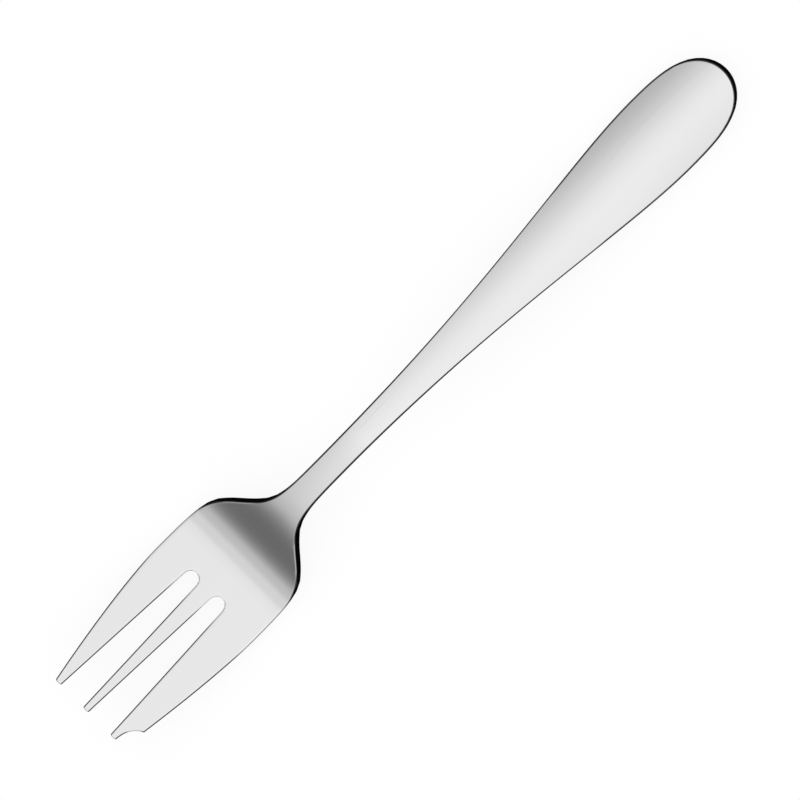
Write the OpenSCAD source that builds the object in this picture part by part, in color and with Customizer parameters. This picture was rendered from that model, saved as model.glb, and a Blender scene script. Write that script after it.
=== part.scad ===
// A cake fork, cut from one strip of steel and pressed to shape.
// It lies on its back on a table, with its tine tips towards -X and the end of its handle
// towards +X. The broad cutting tine is on -Y. The origin is on the table, below the middle.

/* [Length] */
// Length of the top, from the tine tips to the end of the handle
fork_l = 150; // [142:1:165]
// Length of the slots between the tines
slot_l = 28; // [25:0.1:30]
// Place of the broadest part of the head, measured from the tips
head_broad_at = 26; // [22:0.5:29]
// Place of the middle of the shoulders
shoulder_at = 42.6; // [41:0.1:46]
// Reach of the shoulder curve to each side of its middle
shoulder_soft = 2.2; // [1.8:0.05:2.6]
// Place of the slimmest part of the neck
neck_at = 58.5; // [55:0.5:62]
// Length of the handle's round end, from its broadest part
handle_end_l = 16.6; // [13:0.2:22]

/* [Width] */
// Width of the head
head_w = 21.7; // [20:0.1:24]
// Width of the neck at its slimmest
neck_w = 4.5; // [4:0.1:6]
// Width of the handle at its broadest
handle_w = 14.5; // [13:0.1:17]

/* [Tines] */
// Width of each tine at its tip
tip_w = 1.2; // [1:0.05:1.6]
// Width of the middle tine at its root
mid_tine_w = 3.2; // [2.8:0.1:3.8]
// Clear width between two tines at their tips
tip_gap = 5.05; // [4.6:0.05:5.3]
// Width of each slot at its round root
slot_w = 2.7; // [2.2:0.05:3.2]
// Shift of the middle tine away from the cutting tine
mid_tine_shift = 0.45; // [0:0.05:0.8]
// Half width that the cutting edge would have at the tips without its notch
blade_reach = 8.2; // [8:0.05:8.8]
// Length of the notch in the cutting edge
notch_l = 4.05; // [3:0.05:6]

/* [Thickness] */
// Thickness of the tines at their tips
tip_t = 1.1; // [0.9:0.05:1.4]
// Thickness of the head
head_t = 1.3; // [1:0.05:1.8]
// Thickness of the neck at its edges
neck_t = 2.5; // [2:0.05:3.2]
// Thickness of the handle at its edges
handle_t = 1.55; // [1.2:0.05:2]
// Height of the crown along the middle of the handle's top, over the edges where it is broadest
crown_h = 0.62; // [0.2:0.02:0.9]
// Width of the rounding along the edges of the head and the handle
rim_w = 0.2; // [0.1:0.05:0.4]
// Width of the softer rounding along the edges of the neck
neck_rim_w = 0.3; // [0.2:0.05:0.6]

/* [Side view] */
// Slope of the tines at their tips, in degrees
tip_slope = 15; // [10:1:22]
// Slope of the tines at their roots, in degrees
root_slope = 6; // [2:1:10]
// Slope that the foot of the neck turns to, in degrees
neck_slope = 33; // [28:0.5:37]
// Slope of the upper neck, in degrees
crest_slope = 8.5; // [6:0.5:13]
// Place of the bend along the tines
tine_bend_at = 14; // [10:0.5:18]
// Place of the bend at the heel, where the head turns up into the neck
heel_bend_at = 35.2; // [33.6:0.2:37.6]
// Place of the bend in the neck
neck_bend_at = 49.2; // [47.4:0.2:51.4]
// Place of the bend at the crest, where the neck turns down into the handle
crest_bend_at = 67.5; // [64:0.5:71]
// Length of the handle that levels out behind its bend, from the bend to the end
level_l = 27; // [20:1:34]
// Length from the place where the handle rests on the table to its end
rest_l = 18.5; // [16:0.5:21]

/* [Hidden] */

// Steel colour
steel = [0.8, 0.81, 0.82];

// How softly each bend of the side view turns, as shares of its place
bend_soft_shares = [0.43, 0.048, 0.048, 0.043, 0.035];

// Rows and columns of faces. A column runs from the tips to the end of the handle.
TINE_COLS = [4, 4, 5];
ARC_COLS = 6;
TIP_ROWS = 2;
NOTCH_ROWS = 5;
SLOT_ROWS = 13;
HEAD_ROWS = 18;
HANDLE_ROWS = 22;
END_ROWS = 9;

// Steps in which the lowest place of the head is looked for
HEEL_STEPS = 80;

// Shapes of the curves in the outline
flare_share = 1.5;
handle_rise_share = 2.4;
handle_settle_share = 1.68;
end_round_share = 3.5;
tip_round_share = 3;
tip_blunt_share = 0.25;
notch_arc_share = 0.97;
notch_near_share = 0.06;
corner_share = 0.75;
root_fade_share = 3.2;

// Reach of the changes in thickness, and the share of it that the rounded edges may take up
thick_soft_share = 1.6;
handle_thin_share = 0.125;
round_share = 0.42;

// Sizes worked out from those above
tip_round_l = tip_blunt_share * tip_w;
root_r = slot_w / 2;
root_at = slot_l - root_r;
handle_broad_at = fork_l - handle_end_l;
plain_reach = mid_tine_shift + tip_w / 2 + tip_gap + tip_w;
root_fade_l = root_fade_share * root_r;
thick_at = neck_bend_at;
thick_soft = thick_soft_share * shoulder_soft;
handle_thin_at = (neck_at + handle_broad_at) / 2;
handle_thin_soft = handle_thin_share * (handle_broad_at - neck_at);

function mix(a, b, share) = a + (b - a) * share;
function unit(v) = v / norm(v);
function ease(x) = let (c = min(max(x, 0), 1)) c * c * (3 - 2 * c);
function soft_step(x) = 1 / (1 + exp(-x));
function soft_ramp(x) = ln(1 + exp(x));

// Outline seen from above. Every place s along the fork is measured from the tips.
// round_off gives the width that is left near a round end: x is 0 at the end's tip and 1 where it starts.
function round_off(x, power) = sqrt(1 - pow(1 - min(max(x, 0), 1), power));
function flare(s, reach) =
    head_w / 2 - (head_w / 2 - reach) * pow(max(0, 1 - s / head_broad_at), flare_share);
function stem_half(s) =
    let (x = min(max(0, (s - neck_at) / (handle_broad_at - neck_at)), 1))
    mix(neck_w / 2, handle_w / 2, 1 - pow(1 - pow(x, handle_rise_share), handle_settle_share));
function square_half(s, reach) =
    stem_half(s) + (flare(s, reach) - neck_w / 2) * soft_step((shoulder_at - s) / shoulder_soft);
function side_half(s, reach) =
    square_half(s, reach) * round_off((fork_l - s) / handle_end_l, end_round_share);

// The notch runs in a hollow arc from the tip of the cutting tine to the corner of its edge.
function notch_edge(s) =
    let (
        tip_edge = plain_reach - 2 * mid_tine_shift,
        arc = 1 - sqrt(1 - pow(notch_arc_share * s / notch_l, 2)),
        whole_arc = 1 - sqrt(1 - pow(notch_arc_share, 2))
    )
    mix(tip_edge, side_half(notch_l, blade_reach), arc / whole_arc);
function blade_half(s) = s < notch_l ? notch_edge(s) : side_half(s, blade_reach);

// Edges of tine k, the one nearer +Y first, before its tip is rounded
function mid_half(s) = mix(tip_w, mid_tine_w, s / root_at) / 2;
function gap(s) = mix(tip_gap, slot_w, s / root_at);
function tine_edges(k, s) =
    k == 0 ? [side_half(s, plain_reach), mid_tine_shift + mid_half(s) + gap(s)]
    : k == 1 ? [mid_tine_shift + mid_half(s), mid_tine_shift - mid_half(s)]
    : [mid_tine_shift - mid_half(s) - gap(s), -blade_half(s)];

// Point of tine k at place s, where share runs from 0 at its +Y edge to 1 at its -Y edge
function tine_point(k, s, share) =
    let (
        edges = tine_edges(k, s),
        half = (edges[0] - edges[1]) / 2 * round_off(s / tip_round_l, tip_round_share)
    )
    [s, (edges[0] + edges[1]) / 2 + half * (1 - 2 * share)];

// Place along a round end where its half width is a share of the full half width
function round_place(length, power, width_share) =
    length * (1 - pow(1 - pow(width_share, 2), 1 / power));
tip_corner_at = round_place(tip_round_l, tip_round_share, corner_share);
end_corner_at = fork_l - round_place(handle_end_l, end_round_share, corner_share);

function steps(from, to, n) = [for (i = [0:n - 1]) mix(from, to, i / n)];
tine_places = concat(
    steps(tip_corner_at, tip_round_l, TIP_ROWS),
    steps(tip_round_l, notch_l * (1 - notch_near_share), NOTCH_ROWS),
    steps(notch_l * (1 - notch_near_share), notch_l * (1 + notch_near_share), 2),
    steps(notch_l * (1 + notch_near_share), root_at, SLOT_ROWS)
);
palm_places = concat(
    steps(root_at, neck_at, HEAD_ROWS),
    steps(neck_at, handle_broad_at, HANDLE_ROWS),
    steps(handle_broad_at, end_corner_at, END_ROWS),
    [end_corner_at]
);

// Numbers of the grid's nodes. The palm's grid runs from the slots' roots to the end of the handle.
tine_n = len(tine_places);
last_row = len(palm_places) - 1;
tine_col = [0, TINE_COLS[0] + ARC_COLS, TINE_COLS[0] + TINE_COLS[1] + 2 * ARC_COLS];
last_col = tine_col[2] + TINE_COLS[2];
palm_nodes = (last_row + 1) * (last_col + 1);
tine_start = [
    palm_nodes,
    palm_nodes + tine_n * (TINE_COLS[0] + 1),
    palm_nodes + tine_n * (TINE_COLS[0] + TINE_COLS[1] + 2)
];
node_n = palm_nodes + tine_n * (TINE_COLS[0] + TINE_COLS[1] + TINE_COLS[2] + 3);
function palm_at(i, j) = i * (last_col + 1) + j;
function tine_at(k, i, j) =
    i == tine_n ? palm_at(0, tine_col[k] + j) : tine_start[k] + i * (TINE_COLS[k] + 1) + j;

// The round root of the slot after tine k, from 0 at one side of the slot to 1 at the other
function slot_arc(k, share) =
    let (
        high = tine_edges(k, root_at)[1],
        low = tine_edges(k + 1, root_at)[0]
    )
    [root_at + (high - low) / 2 * sin(180 * share), (high + low) / 2 + (high - low) / 2 * cos(180 * share)];

// The line across the roots of the tines and the slots, and each column's share of the width there
root_line = concat(
    [for (k = [0:2]) each concat(
        [for (j = [0:TINE_COLS[k]]) tine_point(k, root_at, j / TINE_COLS[k])],
        k == 2 ? [] : [for (j = [1:ARC_COLS - 1]) slot_arc(k, j / ARC_COLS)]
    )]
);
col_shares = [for (p = root_line) (root_line[0].y - p.y) / (root_line[0].y - root_line[last_col].y)];

// Point of the handle's round end in column j
function end_point(j) =
    let (across = corner_share * (1 - 2 * col_shares[j]))
    [fork_l - round_place(handle_end_l, end_round_share, abs(across)), across * handle_w / 2];

// The rim is one closed line round the whole fork. Each entry is a node's number and its outline point.
function tine_side(k, share, places) =
    [for (i = places) [tine_at(k, i, share * TINE_COLS[k]), tine_point(k, tine_places[i], share)]];
function tine_tip(k) = [
    for (j = [1:TINE_COLS[k] - 1])
        let (
            across = corner_share * (1 - 2 * j / TINE_COLS[k]),
            edges = tine_edges(k, 0),
            place = round_place(tip_round_l, tip_round_share, abs(across))
        )
        [tine_at(k, 0, j), [place, (edges[0] + edges[1]) / 2 + across * (edges[0] - edges[1]) / 2]]
];
rim = concat(
    [for (i = [last_row:-1:0]) [palm_at(i, 0), [palm_places[i], side_half(palm_places[i], plain_reach)]]],
    [for (k = [0:2]) each concat(
        tine_side(k, 0, [tine_n - 1:-1:0]),
        tine_tip(k),
        tine_side(k, 1, [0:tine_n - 1]),
        k == 2 ? [] : [for (j = [tine_col[k] + TINE_COLS[k]:tine_col[k + 1]]) [palm_at(0, j), root_line[j]]]
    )],
    [for (i = [0:last_row]) [palm_at(i, last_col), [palm_places[i], -blade_half(palm_places[i])]]],
    [for (j = [last_col - 1:-1:1]) [palm_at(last_row, j), end_point(j)]]
);
rim_n = len(rim);
rim_place = search([for (i = [0:node_n - 1]) i], [for (entry = rim) entry[0]]);

// The flat of the top ends inside the outline by the width of the rounding.
function rim_width(s) =
    let (
        neck_part = soft_step((s - thick_at) / thick_soft),
        handle_part = ease((s - neck_at) / (handle_thin_at - neck_at))
    )
    mix(rim_w, neck_rim_w, neck_part * (1 - handle_part));
function rim_normal(n) =
    let (
        here = rim[n][1],
        before = unit(here - rim[(n + rim_n - 1) % rim_n][1]),
        after = unit(rim[(n + 1) % rim_n][1] - here),
        along = unit(before + after)
    )
    [along.y, -along.x];
inner_rim = [for (n = [0:rim_n - 1]) rim[n][1] - rim_width(rim[n][1].x) * rim_normal(n)];
function inner(number) = inner_rim[rim_place[number]];

// Rows are straight between the two edges, and bow out into the slots' roots and the round ends.
function straight(i, j) = mix(inner(palm_at(i, 0)), inner(palm_at(i, last_col)), col_shares[j]);
function tine_straight(k, i, j) =
    mix(inner(tine_at(k, i, 0)), inner(tine_at(k, i, TINE_COLS[k])), j / TINE_COLS[k]);
function tine_of(j) = len([for (k = [1, 2]) if (j >= tine_col[k]) k]);
function root_point(j) =
    let (k = tine_of(j), across = j - tine_col[k])
    across <= TINE_COLS[k] ? tine_straight(k, tine_n, across) : inner(palm_at(0, j));
root_bow = [for (j = [0:last_col]) root_point(j) - straight(0, j)];
end_bow = [for (j = [0:last_col]) inner(palm_at(last_row, j)) - straight(last_row, j)];
function palm_point(i, j) =
    let (
        s = palm_places[i],
        root_part = pow(max(0, 1 - (s - root_at) / root_fade_l), 2),
        end_part = pow(max(0, (s - handle_broad_at) / (end_corner_at - handle_broad_at)), 2)
    )
    straight(i, j) + root_part * root_bow[j] + end_part * end_bow[j];
function tine_grid_point(k, i, j) =
    let (tip_part = pow(max(0, 1 - i / TIP_ROWS), 2))
    tine_straight(k, i, j) + tip_part * (inner(tine_at(k, 0, j)) - tine_straight(k, 0, j));

// Thickness at the edges, and the height of the crown over them. The crown is equally curved all
// along, so it is lower where the stem is slim. The handle's round end is cut out of the full
// crown, so it is thicker in its middle than at its sides.
function thickness(s) =
    mix(tip_t, head_t, ease(s / root_at))
        + (neck_t - head_t) * soft_step((s - thick_at) / thick_soft)
        + (handle_t - neck_t) * soft_step((s - handle_thin_at) / handle_thin_soft);
function crown(p) =
    crown_h * pow(2 * stem_half(p.x) / handle_w, 2) * soft_step((p.x - thick_at) / thick_soft)
        * (1 - pow(p.y / square_half(p.x, plain_reach), 2));

// Side view. The top runs straight between soft bends. Its five bends part six legs.
bend_at = [tine_bend_at, heel_bend_at, neck_bend_at, crest_bend_at, fork_l - level_l];
bend_soft = [for (n = [0:4]) bend_at[n] * bend_soft_shares[n]];
head_grades = [-tan(tip_slope), -tan(root_slope), tan(neck_slope), tan(crest_slope)];
function bend_rise(n, s) = bend_soft[n] * soft_ramp((s - bend_at[n]) / bend_soft[n]);
function head_back(s) =
    head_grades[0] * s + (head_grades[1] - head_grades[0]) * bend_rise(0, s)
        + (head_grades[2] - head_grades[1]) * bend_rise(1, s)
        + (head_grades[3] - head_grades[2]) * bend_rise(2, s) - thickness(s);

// The handle comes down so far that its back rests as low as the heel, and its end turns up
// just enough to make the back level where it rests.
heel_places = steps(root_at, shoulder_at, HEEL_STEPS);
heel_heights = [for (s = heel_places) head_back(s)];
heel_at = heel_places[search(min(heel_heights), heel_heights)[0]];
rest_at = fork_l - rest_l;
level_part = soft_step((rest_at - bend_at[4]) / bend_soft[4]);
function rest_rise(n) = bend_rise(n, rest_at) - bend_rise(n, heel_at);
handle_grade = (head_back(heel_at) - head_back(rest_at) + head_grades[3] * rest_rise(3))
    / (rest_rise(3) - rest_rise(4) / level_part);
grades = concat(head_grades, [handle_grade, handle_grade * (1 - 1 / level_part)]);
function top_height(s) =
    head_back(s) + thickness(s)
        + (grades[4] - grades[3]) * bend_rise(3, s) + (grades[5] - grades[4]) * bend_rise(4, s);
function top_grade(s, n = 4) =
    n < 0 ? grades[0]
    : top_grade(s, n - 1) + (grades[n + 1] - grades[n]) * soft_step((s - bend_at[n]) / bend_soft[n]);

// A point at height h over the top's edges, square to the top
function raised(p, h) =
    let (tilt = atan(top_grade(p.x)))
    [p.x - h * sin(tilt), p.y, top_height(p.x) + h * cos(tilt)];

flat_nodes = concat(
    [for (i = [0:last_row]) each [for (j = [0:last_col]) palm_point(i, j)]],
    [for (k = [0:2], i = [0:tine_n - 1]) each [for (j = [0:TINE_COLS[k]]) tine_grid_point(k, i, j)]]
);
tops = [for (p = flat_nodes) crown(p)];
backs = [for (p = flat_nodes) -thickness(p.x)];

// Layers of the rounded rim, from the top down to the back. Each one lies at an angle round
// the upper or the lower edge, counted from the flat beside it.
EDGE_ANGLES = [30, 60, 90];
layer_n = 2 * len(EDGE_ANGLES);
function rim_layer(layer) =
    let (
        upper = layer < layer_n / 2,
        angle = EDGE_ANGLES[upper ? layer : layer_n - 1 - layer]
    )
    [for (n = [0:rim_n - 1])
        let (
            top = tops[rim[n][0]],
            back = backs[rim[n][0]],
            drop = (1 - cos(angle)) * min(rim_width(rim[n][1].x), round_share * (top - back))
        )
        raised(mix(inner_rim[n], rim[n][1], sin(angle)), upper ? top - drop : back + drop)];
shell = concat(
    [for (number = [0:node_n - 1]) raised(flat_nodes[number], tops[number])],
    [for (number = [0:node_n - 1]) raised(flat_nodes[number], backs[number])],
    [for (layer = [0:layer_n - 1]) each rim_layer(layer)]
);
function rim_node(layer, n) =
    layer == 0 ? rim[n % rim_n][0]
    : layer > layer_n ? node_n + rim[n % rim_n][0]
    : 2 * node_n + (layer - 1) * rim_n + n % rim_n;

// Faces, as pairs of triangles
function pair(a, b, c, d) = [[a, b, c], [a, c, d]];
top_quads = concat(
    [for (i = [0:last_row - 1], j = [0:last_col - 1])
        [palm_at(i, j), palm_at(i + 1, j), palm_at(i + 1, j + 1), palm_at(i, j + 1)]],
    [for (k = [0:2], i = [0:tine_n - 1], j = [0:TINE_COLS[k] - 1])
        [tine_at(k, i, j), tine_at(k, i + 1, j), tine_at(k, i + 1, j + 1), tine_at(k, i, j + 1)]]
);
faces = concat(
    [for (q = top_quads) each pair(q[0], q[1], q[2], q[3])],
    [for (q = top_quads) each pair(node_n + q[0], node_n + q[3], node_n + q[2], node_n + q[1])],
    [for (layer = [0:layer_n], n = [0:rim_n - 1])
        each pair(
            rim_node(layer, n), rim_node(layer, n + 1),
            rim_node(layer + 1, n + 1), rim_node(layer + 1, n)
        )]
);

// The fork stands on the table, with the origin below the middle of its length.
shell_x = [for (p = shell) p.x];
shell_z = [for (p = shell) p.z];
module fork() {
    color(steel)
        translate([-(min(shell_x) + max(shell_x)) / 2, 0, -min(shell_z)])
            polyhedron(points = shell, faces = faces, convexity = 6);
}

fork();
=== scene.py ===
"""A pastry fork of polished steel lying on a white table, seen from above its handle."""
import math

import bmesh
import bpy
from mathutils import Matrix, Vector


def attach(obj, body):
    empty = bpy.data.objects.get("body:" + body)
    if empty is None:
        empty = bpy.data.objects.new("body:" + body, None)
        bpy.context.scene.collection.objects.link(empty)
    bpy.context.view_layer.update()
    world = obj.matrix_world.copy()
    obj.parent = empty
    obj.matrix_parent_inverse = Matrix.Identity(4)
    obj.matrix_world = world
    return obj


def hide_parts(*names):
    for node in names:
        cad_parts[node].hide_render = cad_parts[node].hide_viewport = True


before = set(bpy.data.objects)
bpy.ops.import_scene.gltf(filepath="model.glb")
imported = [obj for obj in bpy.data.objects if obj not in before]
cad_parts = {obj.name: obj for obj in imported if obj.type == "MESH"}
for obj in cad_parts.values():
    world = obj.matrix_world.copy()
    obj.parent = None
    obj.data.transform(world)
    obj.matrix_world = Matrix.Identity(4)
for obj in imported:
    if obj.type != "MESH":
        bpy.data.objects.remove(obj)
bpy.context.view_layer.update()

MM = 0.001

# The camera stands far off over the table, leaning towards the handle and a little to the cutting side.
LEAN_TO_HANDLE = math.radians(16)
LEAN_TO_BLADE = math.radians(1.3)
# The fork lies on the picture's rising diagonal, turned by a hair.
TURN_IN_PICTURE = math.radians(-0.25)
PICTURE_W = 128.65 * MM
LENS = 1500.0
SENSOR = 36.0
SIGHT = 20
# Middle of the picture, along and across the fork as the camera sees them, and over the table
AIM_ALONG = -2.55 * MM
AIM_ACROSS = 0.24 * MM
AIM_HEIGHT = 5 * MM

# The fork's skin
MERGE = 0.001 * MM
JOIN_BEND = math.radians(40)
JOIN_CORNER = math.radians(60)
CREASE_FROM = math.radians(8)
CREASE = 0.7
SMOOTH_LEVELS = 2
# A face belongs to the edge where its normal's upward part is less than this.
WALL_TILT = 0.75
# The edge is dull and painted nearly black as painted shade along the handle and along the tines, and polished
# without painted shade round the palm and at the tips.
HANDLE_DULL_SHADE_FROM = -40 * MM
TINES_DULL_SHADE_TO = -50 * MM
DULL_SHADE_SOFT = 6 * MM
# It is polished without painted shade where it faces the tips by this share or more, and dull with painted shade
# where by TIP_SOFT less.
TIP_TURN = 0.5
TIP_SOFT = 0.3

# Stage
TABLE_R = 2.0
DISC_SIDES = 64
TENT_R = 1.6
TENT_ROUNDS = 4
TOP_REACH = 0.001
SHADE_R = 0.11
SHADE_LIFT = 0.2 * MM
# The shade leaves a wedge of the white table free, from under the palm out past the tines.
WEDGE_FROM = -20 * MM
WEDGE_SIDE = math.radians(8)
SHADE_TONE = 0.004


class Value:
    """A socket of a material's nodes. Sums on it add Math nodes."""

    def __init__(self, nodes, socket):
        self.nodes = nodes
        self.socket = socket

    def math(self, operation, *values):
        node = self.nodes.add("ShaderNodeMath", {"operation": operation}, dict(enumerate(values)))
        return self.nodes.out(node)

    def __add__(self, other):
        return self.math("ADD", self, other)

    def __radd__(self, other):
        return self.math("ADD", other, self)

    def __sub__(self, other):
        return self.math("SUBTRACT", self, other)

    def __rsub__(self, other):
        return self.math("SUBTRACT", other, self)

    def __mul__(self, other):
        return self.math("MULTIPLY", self, other)

    def __rmul__(self, other):
        return self.math("MULTIPLY", other, self)

    def __truediv__(self, other):
        return self.math("DIVIDE", self, other)

    def root(self):
        return self.math("SQRT", self)

    def arccosine(self):
        return self.math("ARCCOSINE", self)

    def at_most(self, other):
        return self.math("MINIMUM", self, other)

    def at_least(self, other):
        return self.math("MAXIMUM", self, other)


class Nodes:
    """The nodes of one material or world."""

    def __init__(self, owner):
        owner.use_nodes = True
        self.tree = owner.node_tree
        self.tree.nodes.clear()

    def add(self, kind, settings=None, sockets=None):
        """A node of that kind, with its settings, then the values or links of its sockets."""
        node = self.tree.nodes.new(kind)
        for name, value in (settings or {}).items():
            if name == "stops":
                self.set_stops(node.color_ramp, value)
            else:
                setattr(node, name, value)
        for name, value in (sockets or {}).items():
            if isinstance(value, Value):
                self.tree.links.new(value.socket, node.inputs[name])
            else:
                node.inputs[name].default_value = value
        return node

    @staticmethod
    def set_stops(ramp, stops):
        """Stops of a ramp, each a place and a grey."""
        while len(ramp.elements) < len(stops):
            ramp.elements.new(1.0)
        for element, (place, tone) in zip(ramp.elements, stops):
            element.position = place
            element.color = (tone, tone, tone, 1.0)

    def out(self, node, name=0):
        return Value(self, node.outputs[name])

    def value(self, kind, settings=None, sockets=None, output=0):
        return self.out(self.add(kind, settings, sockets), output)

    def part(self, vector, axis):
        return self.value("ShaderNodeSeparateXYZ", None, {"Vector": vector}, axis)

    def ramp(self, stops, place):
        return self.value("ShaderNodeValToRGB", {"stops": stops}, {"Fac": place}, "Color")


def grey(tone):
    return (tone, tone, tone, 1.0)


def stage_material(name):
    material = bpy.data.materials.new(name)
    return material, Nodes(material)


# Materials

FACE_TONE = 0.845
FACE_ROUGH = 0.14
# Painted shade: the edge's colour is nearly black, standing in for the dark the steel would reflect there.
EDGE_SHADE_TONE = 0.08
EDGE_ROUGH = 0.3
# How far the edge's painted shade and dullness reach up its rounding
EDGE_SPREAD = 3.0
# Shares of the fine lines, the soft clouds and the long waves in the roughness and in the relief
LINE_ROUGH = 0.06
CLOUD_ROUGH = 0.05
LINE_RELIEF = 0.0015
CLOUD_RELIEF = 0.01
WAVE_RELIEF = 0.06
RELIEF_H = 0.1 * MM

TABLE_TONE = 0.9
TABLE_SHADE_REACH = 12 * MM
TABLE_SHADE_SAMPLES = 8


def stretched_noise(nodes, place, stretch, scale, detail):
    """Noise that is drawn out along the fork by its own stretch along X."""
    spread = nodes.value(
        "ShaderNodeMapping", {"vector_type": "POINT"},
        {"Vector": place, "Scale": (scale / stretch, scale, scale)},
    )
    return nodes.value(
        "ShaderNodeTexNoise", {"noise_dimensions": "3D"},
        {"Vector": spread, "Scale": 1.0, "Detail": detail, "Roughness": 0.5}, "Fac",
    )


def polished_steel():
    """Bright polished steel with fine lines along the fork, and a duller blanked edge whose nearly black colour
    is painted shade.
    """
    material, nodes = stage_material("polished_steel")
    place = nodes.value("ShaderNodeTexCoord", output="Object")
    dull_and_shade = nodes.value("ShaderNodeAttribute", {"attribute_name": "edge"}, output="Fac")
    edge = (dull_and_shade * EDGE_SPREAD).at_most(1.0)
    lines = stretched_noise(nodes, place, stretch=40, scale=3500, detail=3)
    clouds = stretched_noise(nodes, place, stretch=3, scale=120, detail=4)
    waves = stretched_noise(nodes, place, stretch=2, scale=45, detail=1)
    # Painted shade: the edge's mask mixes the steel's colour towards the nearly black edge tone.
    tone = nodes.value(
        "ShaderNodeMix", {"data_type": "RGBA"},
        {"Factor": edge, "A": grey(FACE_TONE), "B": grey(EDGE_SHADE_TONE)}, "Result",
    )
    rough = FACE_ROUGH + (EDGE_ROUGH - FACE_ROUGH) * edge
    rough = rough + (lines - 0.5) * LINE_ROUGH + (clouds - 0.5) * CLOUD_ROUGH
    relief = lines * LINE_RELIEF + clouds * CLOUD_RELIEF + waves * WAVE_RELIEF
    bump = nodes.value(
        "ShaderNodeBump", None, {"Strength": 1.0, "Distance": RELIEF_H, "Height": relief}, "Normal",
    )
    shader = nodes.value(
        "ShaderNodeBsdfPrincipled", None,
        {"Base Color": tone, "Metallic": 1.0, "Roughness": rough, "Normal": bump}, "BSDF",
    )
    nodes.add("ShaderNodeOutputMaterial", None, {"Surface": shader})
    return material


def white_table():
    """A white table that shows pure white, and darker where the fork shades it."""
    material, nodes = stage_material("white_table")
    path = nodes.add("ShaderNodeLightPath")
    seen = nodes.out(path, "Is Camera Ray") + nodes.out(path, "Is Glossy Ray")
    seen = (seen + nodes.out(path, "Is Transmission Ray")).at_most(1.0)
    open_sky = nodes.value(
        "ShaderNodeAmbientOcclusion", {"samples": TABLE_SHADE_SAMPLES}, {"Distance": TABLE_SHADE_REACH}, "AO",
    )
    lit = nodes.value("ShaderNodeBsdfDiffuse", None, {"Color": grey(TABLE_TONE)})
    shaded = TABLE_TONE + (1 - TABLE_TONE) * open_sky
    glow = nodes.value("ShaderNodeEmission", None, {"Color": shaded, "Strength": 1.0})
    shader = nodes.value("ShaderNodeMixShader", None, {0: seen, 1: lit, 2: glow})
    nodes.add("ShaderNodeOutputMaterial", None, {"Surface": shader})
    return material


# The tent's tone past the tips, from straight above (place 0) down to the table (place 1)
TIP_STOPS = [
    (0.0, 1.0), (0.18, 1.0), (0.42, 0.82), (0.58, 0.74), (0.74, 0.57), (0.81, 0.33), (0.87, 0.15), (1.0, 0.1),
]
# Its tone elsewhere
OPEN_STOPS = [(0.0, 1.0), (0.18, 1.0), (0.3, 0.93), (0.5, 0.88), (1.0, 0.8)]
# Share of the first, from straight past the tips (place 0) round to straight past the handle (place 1)
TURN_STOPS = [(0.0, 1.0), (0.05, 1.0), (0.16, 0.0), (1.0, 0.0)]
# Dimming across the fork, from low on the cutting side (place 0) over the top (place 0.5) to low on the other
SIDE_STOPS = [
    (0.0, 0.4), (0.05, 0.75), (0.1, 0.86), (0.325, 0.93), (0.38, 0.97), (0.41, 0.98), (0.465, 1.0),
    (0.5, 0.98), (0.525, 0.924), (0.555, 0.853), (0.585, 0.775), (0.61, 0.68), (0.64, 0.605), (0.675, 0.55),
    (0.72, 0.5), (0.9, 0.5), (1.0, 0.4),
]
# Share of that dimming, from far past the tips (place 0) to far past the handle (place 1)
ALONG_STOPS = [(0.0, 1.0), (0.67, 1.0), (0.75, 0.0), (1.0, 0.0)]


def tent_cloth():
    """The tent's cloth, bright overhead, dimmer towards the table, most of all past the tips."""
    material, nodes = stage_material("tent_cloth")
    place = nodes.value("ShaderNodeTexCoord", output="Object")
    along = nodes.part(place, "X") / TENT_R
    side = nodes.part(place, "Y") / TENT_R
    height = (nodes.part(place, "Z") / TENT_R).at_most(1.0).at_least(-1.0)
    down = height.arccosine() / (math.pi / 2)
    reach = (along * along + side * side).root().at_least(TOP_REACH)
    turn = along / reach / 2 + 0.5
    open_tone = nodes.ramp(OPEN_STOPS, down)
    tone = open_tone + (nodes.ramp(TIP_STOPS, down) - open_tone) * nodes.ramp(TURN_STOPS, turn)
    side_tone = nodes.ramp(SIDE_STOPS, side / 2 + 0.5)
    dimmer = 1 - (1 - side_tone) * nodes.ramp(ALONG_STOPS, along / 2 + 0.5)
    glow = nodes.value("ShaderNodeEmission", None, {"Color": tone * dimmer, "Strength": 1.0})
    nodes.add("ShaderNodeOutputMaterial", None, {"Surface": glow})
    return material


def shade_cloth():
    """A dark sheet on the table that only reflections show: painted shade, so that the walls read dark."""
    material, nodes = stage_material("shade_cloth")
    glow = nodes.value("ShaderNodeEmission", None, {"Color": grey(SHADE_TONE), "Strength": 1.0})
    nodes.add("ShaderNodeOutputMaterial", None, {"Surface": glow})
    return material


# Pieces

def linked(name, mesh, material):
    piece = bpy.data.objects.new(name, mesh)
    bpy.context.scene.collection.objects.link(piece)
    mesh.materials.clear()
    mesh.materials.append(material)
    return piece


def dull_and_shade_share(vert):
    """How dull the fork's edge is there and how much painted shade darkens it, from 0 to 1. Its faces and its
    polished edges have 0.
    """
    walls = [face.normal for face in vert.link_faces if abs(face.normal.z) < WALL_TILT]
    if not walls:
        return 0.0
    facing = sum(walls, Vector()).normalized()
    at_handle = (vert.co.x - HANDLE_DULL_SHADE_FROM) / DULL_SHADE_SOFT
    at_tines = min((TINES_DULL_SHADE_TO - vert.co.x) / DULL_SHADE_SOFT, (facing.x + TIP_TURN) / TIP_SOFT)
    return min(1.0, max(0.0, at_handle, at_tines))


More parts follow.
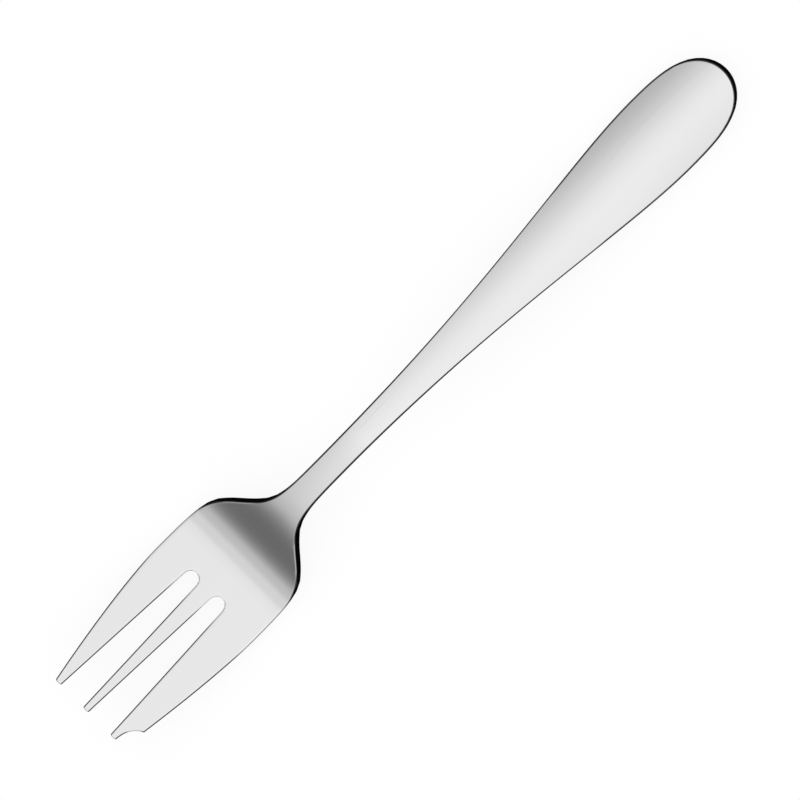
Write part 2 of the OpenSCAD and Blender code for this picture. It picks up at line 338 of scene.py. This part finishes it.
def fork_piece(steel):
    """The fork's solid with its triangles joined into four-sided faces and smoothed."""
    bm = bmesh.new()
    bm.from_mesh(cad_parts["fork"].data)
    bmesh.ops.remove_doubles(bm, verts=bm.verts, dist=MERGE)
    bmesh.ops.join_triangles(
        bm, faces=bm.faces, angle_face_threshold=JOIN_BEND, angle_shape_threshold=JOIN_CORNER,
    )
    bm.normal_update()
    edge = bm.verts.layers.float.new("edge")
    for vert in bm.verts:
        vert[edge] = dull_and_shade_share(vert)
    crease = bm.edges.layers.float.new("crease_edge")
    for line in bm.edges:
        if line.calc_face_angle(0) > CREASE_FROM:
            line[crease] = CREASE
    for face in bm.faces:
        face.smooth = True
    mesh = bpy.data.meshes.new("fork_skin")
    bm.to_mesh(mesh)
    bm.free()
    piece = linked("fork_steel", mesh, steel)
    smooth = piece.modifiers.new("smooth", "SUBSURF")
    smooth.levels = SMOOTH_LEVELS
    smooth.render_levels = SMOOTH_LEVELS
    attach(piece, "root")
    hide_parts("fork")
    return piece


def disc(name, radius, height, material, keeps=None):
    """A flat disc on the table. It keeps only the side that a given direction from the wedge's tip points to."""
    bm = bmesh.new()
    bmesh.ops.create_circle(bm, cap_ends=True, segments=DISC_SIDES, radius=radius)
    bmesh.ops.translate(bm, verts=bm.verts, vec=(0, 0, height))
    if keeps is not None:
        bmesh.ops.bisect_plane(
            bm, geom=bm.verts[:] + bm.edges[:] + bm.faces[:],
            plane_co=(WEDGE_FROM, 0, 0), plane_no=keeps, clear_inner=True,
        )
    mesh = bpy.data.meshes.new(name)
    bm.to_mesh(mesh)
    bm.free()
    piece = linked(name, mesh, material)
    return piece


def tent(cloth):
    bm = bmesh.new()
    bmesh.ops.create_icosphere(bm, subdivisions=TENT_ROUNDS, radius=TENT_R)
    bmesh.ops.reverse_faces(bm, faces=bm.faces)
    mesh = bpy.data.meshes.new("tent")
    bm.to_mesh(mesh)
    bm.free()
    piece = linked("tent", mesh, cloth)
    return piece


def shade(name, side, cloth):
    """Painted shade on one side of the fork, a dark sheet that only reflections show, +1 or -1 along Y."""
    keeps = (math.sin(WEDGE_SIDE), side * math.cos(WEDGE_SIDE), 0)
    only_reflected(disc(name, SHADE_R, SHADE_LIFT, cloth, keeps))


def only_reflected(piece):
    piece.visible_camera = False
    piece.visible_diffuse = False
    piece.visible_transmission = False
    piece.visible_volume_scatter = False
    piece.visible_shadow = False


def daylight():
    world = bpy.data.worlds.new("white_room")
    bpy.context.scene.world = world
    nodes = Nodes(world)
    light = nodes.value("ShaderNodeBackground", None, {"Color": grey(1.0), "Strength": 1.0})
    nodes.add("ShaderNodeOutputWorld", None, {"Surface": light})


def camera():
    """A far camera. The fork's length runs from the lower left to the upper right of the picture."""
    toward = Vector((
        math.sin(LEAN_TO_HANDLE) * math.cos(LEAN_TO_BLADE),
        -math.sin(LEAN_TO_BLADE),
        math.cos(LEAN_TO_HANDLE) * math.cos(LEAN_TO_BLADE),
    ))
    along = (Vector((1, 0, 0)) - toward * toward.x).normalized()
    across = along.cross(toward)
    turn = TURN_IN_PICTURE
    along, across = (
        math.cos(turn) * along - math.sin(turn) * across,
        math.cos(turn) * across + math.sin(turn) * along,
    )
    right = (along + across).normalized()
    up = (along - across).normalized()
    aim = along * AIM_ALONG + across * AIM_ACROSS + toward * AIM_HEIGHT
    distance = PICTURE_W * LENS / SENSOR
    lens = bpy.data.cameras.new("camera")
    lens.lens = LENS
    lens.sensor_width = SENSOR
    lens.clip_end = SIGHT
    seat = bpy.data.objects.new("camera", lens)
    bpy.context.scene.collection.objects.link(seat)
    turned = Matrix((right, up, toward)).transposed().to_4x4()
    seat.matrix_world = Matrix.Translation(aim + toward * distance) @ turned
    bpy.context.scene.camera = seat


fork_piece(polished_steel())
disc("table", TABLE_R, 0, white_table())
# Painted shade: dark sheets beside the fork that only reflections show.
reflected_shade_sheet = shade_cloth()
shade("shade_behind", 1, reflected_shade_sheet)
shade("shade_in_front", -1, reflected_shade_sheet)
only_reflected(tent(tent_cloth()))
daylight()
camera()
bpy.context.scene.view_settings.view_transform = "Standard"
